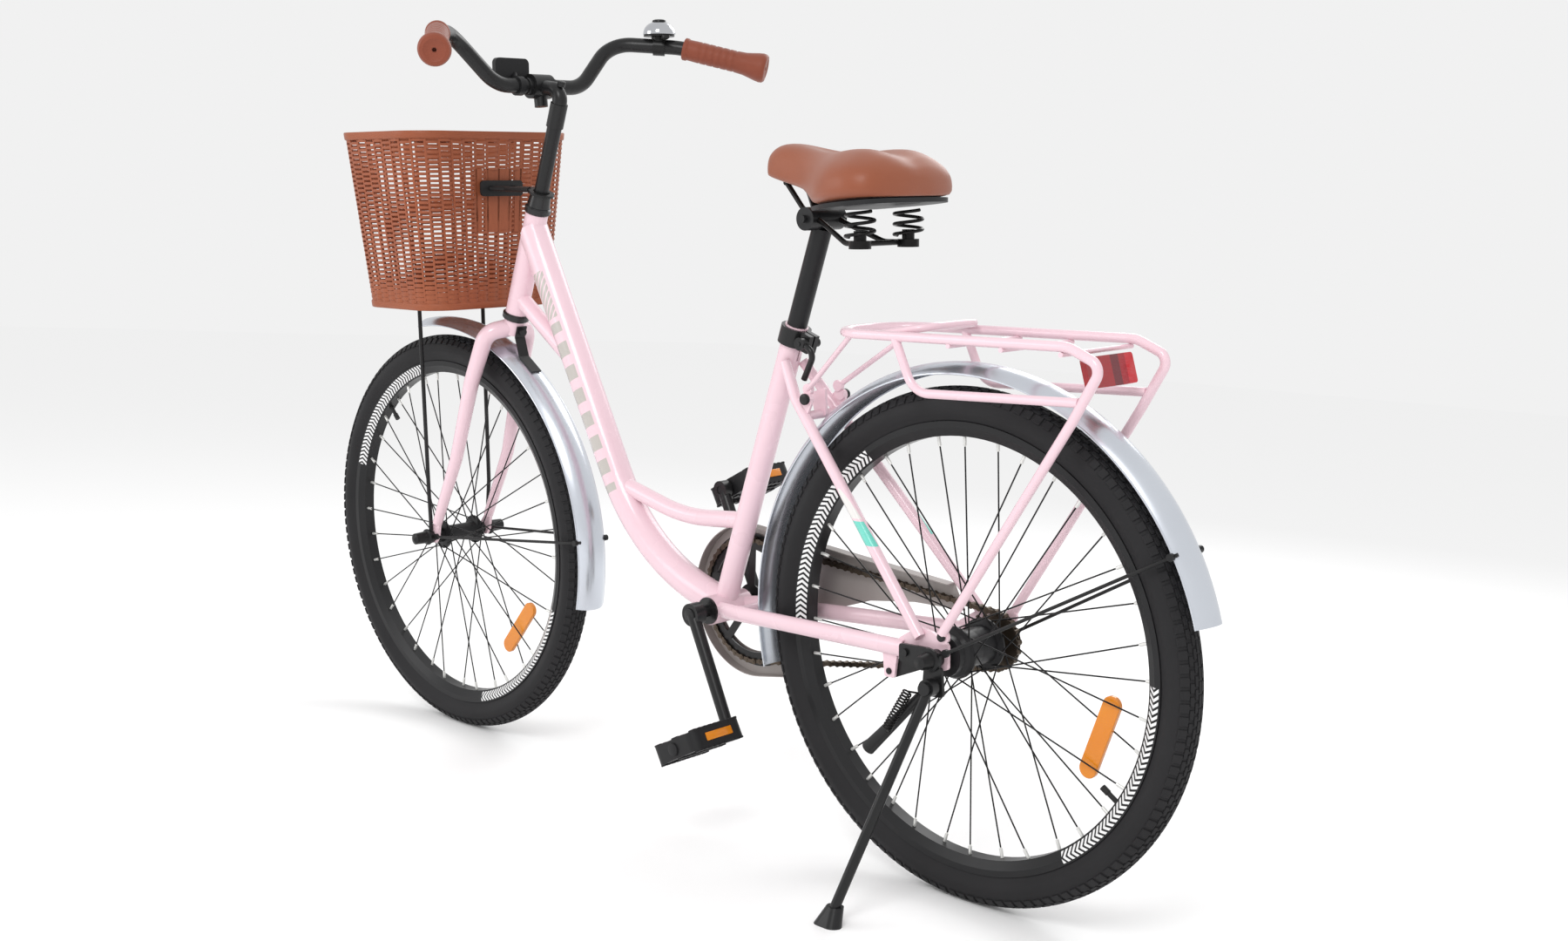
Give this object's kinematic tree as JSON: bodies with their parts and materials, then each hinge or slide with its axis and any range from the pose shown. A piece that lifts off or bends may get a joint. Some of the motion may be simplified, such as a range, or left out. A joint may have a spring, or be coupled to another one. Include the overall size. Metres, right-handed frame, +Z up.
{
  "type": "bicycle on stand",
  "caption": "Low-step city bicycle with a woven front basket, rear carrier, mudguards and sprung saddle, leaning on its side stand.",
  "frame": {"origin": "on the floor, under the middle of the bicycle's bounding box", "axes": "+X forward, +Y to the rider's left, +Z up; the bicycle leans 5 degrees to the left onto its stand"},
  "size_m": [1.7458, 0.6516, 1.1595],
  "materials": {
    "pink_paint": "gloss",
    "tube_paint": "gloss with grey stripes",
    "stay_paint": "gloss with a mint block",
    "black_metal": "satin",
    "axle_metal": "gloss",
    "bearing_metal": "gloss",
    "silver_guard": "polished",
    "wire_stay": "satin",
    "red_lens": "prismatic",
    "amber_lens": "prismatic",
    "guard_grey": "metallic",
    "chain_steel": "oiled",
    "spring_steel": "black finish",
    "tyre_rubber": "matt",
    "tube_rubber": "matt",
    "rim_black": "satin black with white bands",
    "spoke_black": "black finish",
    "hub_black": "satin",
    "pedal_plastic": "matt",
    "post_black": "satin",
    "saddle_cover": "smooth leatherette",
    "saddle_shell": "matt",
    "grip_rubber": "satin",
    "basket_plastic": "woven look",
    "bell_chrome": "polished",
    "bell_plastic": "gloss",
    "reflector_housing": "gloss",
    "rod_black": "satin"
  },
  "bodies": {
    "frame": {"head_tube": "pink_paint", "down_tube": "tube_paint", "top_tube": "pink_paint", "seat_tube": "pink_paint", "bottom_bracket_shell": "pink_paint", "chainstays": "pink_paint", "seatstays": "stay_paint", "headset_cups": "bearing_metal", "bearing_cups": "bearing_metal", "seat_clamp": "black_metal", "rear_mudguard": "silver_guard", "rear_mudguard_stay": "wire_stay", "rear_carrier": "pink_paint", "rear_reflector": "red_lens", "chain_guard": "guard_grey", "chain": "chain_steel", "kickstand_bracket": "black_metal", "coaster_brake_arm": "black_metal", "rear_axle": "axle_metal"},
    "kickstand": {"kickstand_leg": "black_metal", "kickstand_spring": "spring_steel"},
    "clamp_lever": {"seat_clamp_lever": "black_metal"},
    "seatpost_assembly": {"seatpost": "post_black", "saddle_rails": "spring_steel", "saddle_springs": "spring_steel"},
    "saddle": {"saddle_base": "saddle_shell", "saddle_cushion": "saddle_cover"},
    "crankset": {"crank_spindle": "black_metal", "crank_left": "black_metal", "crank_right": "black_metal", "chainring": "black_metal"},
    "left_pedal": {"pedal_left": "pedal_plastic"},
    "right_pedal": {"pedal_right": "pedal_plastic"},
    "sprocket": {"rear_sprocket": "chain_steel"},
    "rear_wheel": {"rear_tyre": "tyre_rubber", "rear_inner_tube": "tube_rubber", "rear_rim": "rim_black", "rear_spokes": "spoke_black", "rear_hub": "hub_black", "rear_wheel_reflector": "amber_lens"},
    "front_wheel": {"front_tyre": "tyre_rubber", "front_inner_tube": "tube_rubber", "front_rim": "rim_black", "front_spokes": "spoke_black", "front_hub": "hub_black", "front_wheel_reflector": "amber_lens"},
    "steering": {"fork": "pink_paint", "headset_locknut": "bearing_metal", "basket_mounts": "rod_black", "basket": "basket_plastic", "front_mudguard": "silver_guard", "front_mudguard_stay": "wire_stay", "front_axle": "axle_metal"},
    "stem": {"stem": "black_metal"},
    "bar": {"handlebar": "black_metal", "grips": "grip_rubber", "bell_base": "bell_plastic", "bell_dome": "bell_chrome", "front_reflector": "reflector_housing"},
    "bell_thumb_lever": {"bell_lever": "bell_plastic"}
  },
  "joints": [
    {"name": "steering", "type": "hinge", "parent": "frame", "child": "steering", "pos_m": [0.37086, -0.03267, 0.69663], "axis": [-0.351, 0.0816, 0.9328], "range_deg": [-60, 60]},
    {"name": "front_wheel_spin", "type": "hinge", "parent": "steering", "child": "front_wheel", "pos_m": [0.54596, -0.06511, 0.32584], "axis": [0, 0.9962, -0.0872], "continuous": true},
    {"name": "rear_wheel_spin", "type": "hinge", "parent": "frame", "child": "rear_wheel", "pos_m": [-0.52734, -0.06511, 0.32584], "axis": [0, 0.9962, -0.0872], "continuous": true},
    {"name": "crank_spin", "type": "hinge", "parent": "frame", "child": "crankset", "pos_m": [-0.09284, -0.06687, 0.30573], "axis": [0, 0.9962, -0.0872], "continuous": true, "deforming": ["chain"]},
    {"name": "pedal_left_spin", "type": "hinge", "parent": "crankset", "child": "left_pedal", "pos_m": [-0.17681, 0.05374, 0.1468], "axis": [0, 0.9962, -0.0872], "continuous": true},
    {"name": "pedal_right_spin", "type": "hinge", "parent": "crankset", "child": "right_pedal", "pos_m": [-0.00887, -0.18748, 0.46467], "axis": [0, 0.9962, -0.0872], "continuous": true},
    {"name": "sprocket_spin", "type": "hinge", "parent": "frame", "child": "sprocket", "pos_m": [-0.52734, -0.11592, 0.33029], "axis": [0, 0.9962, -0.0872], "continuous": true},
    {"name": "kickstand_fold", "type": "hinge", "parent": "frame", "child": "kickstand", "pos_m": [-0.53534, 0.01985, 0.28729], "axis": [-0.0829, 0.9964, -0.019], "range_deg": [0, 98], "deforming": ["kickstand_spring"]},
    {"name": "seat_clamp_lever", "type": "hinge", "parent": "frame", "child": "clamp_lever", "pos_m": [-0.25527, -0.03352, 0.68697], "axis": [0, 0.9962, -0.0872], "range_deg": [0, 100]},
    {"name": "seatpost_slide", "type": "slide", "parent": "frame", "child": "seatpost_assembly", "axis": [-0.3355, 0.0821, 0.9385], "range_m": [-0.04, 0.05]},
    {"name": "saddle_suspension", "type": "hinge", "parent": "seatpost_assembly", "child": "saddle", "pos_m": [-0.22834, -0.01534, 0.89467], "axis": [0, -0.9962, 0.0872], "range_deg": [0, 3.5], "stiffness_Nm_per_rad": 600, "springref_deg": -0.69, "deforming": ["saddle_springs"]},
    {"name": "stem_slide", "type": "slide", "parent": "steering", "child": "stem", "axis": [-0.351, 0.0816, 0.9328], "range_m": [-0.035, 0.03]},
    {"name": "handlebar_tilt", "type": "hinge", "parent": "stem", "child": "bar", "pos_m": [0.29966, -0.00292, 1.03663], "axis": [0, 0.9962, -0.0872], "range_deg": [-15, 15]},
    {"name": "bell_lever", "type": "hinge", "parent": "bar", "child": "bell_thumb_lever", "pos_m": [0.23506, -0.19088, 1.12796], "axis": [0, 0.0872, 0.9962], "range_deg": [0, 15], "stiffness_Nm_per_rad": 0.05, "springref_deg": -11.46}
  ],
  "couplings": [
    {"joint": "sprocket_spin", "follows": "crank_spin", "ratio": 2.4444}
  ]
}
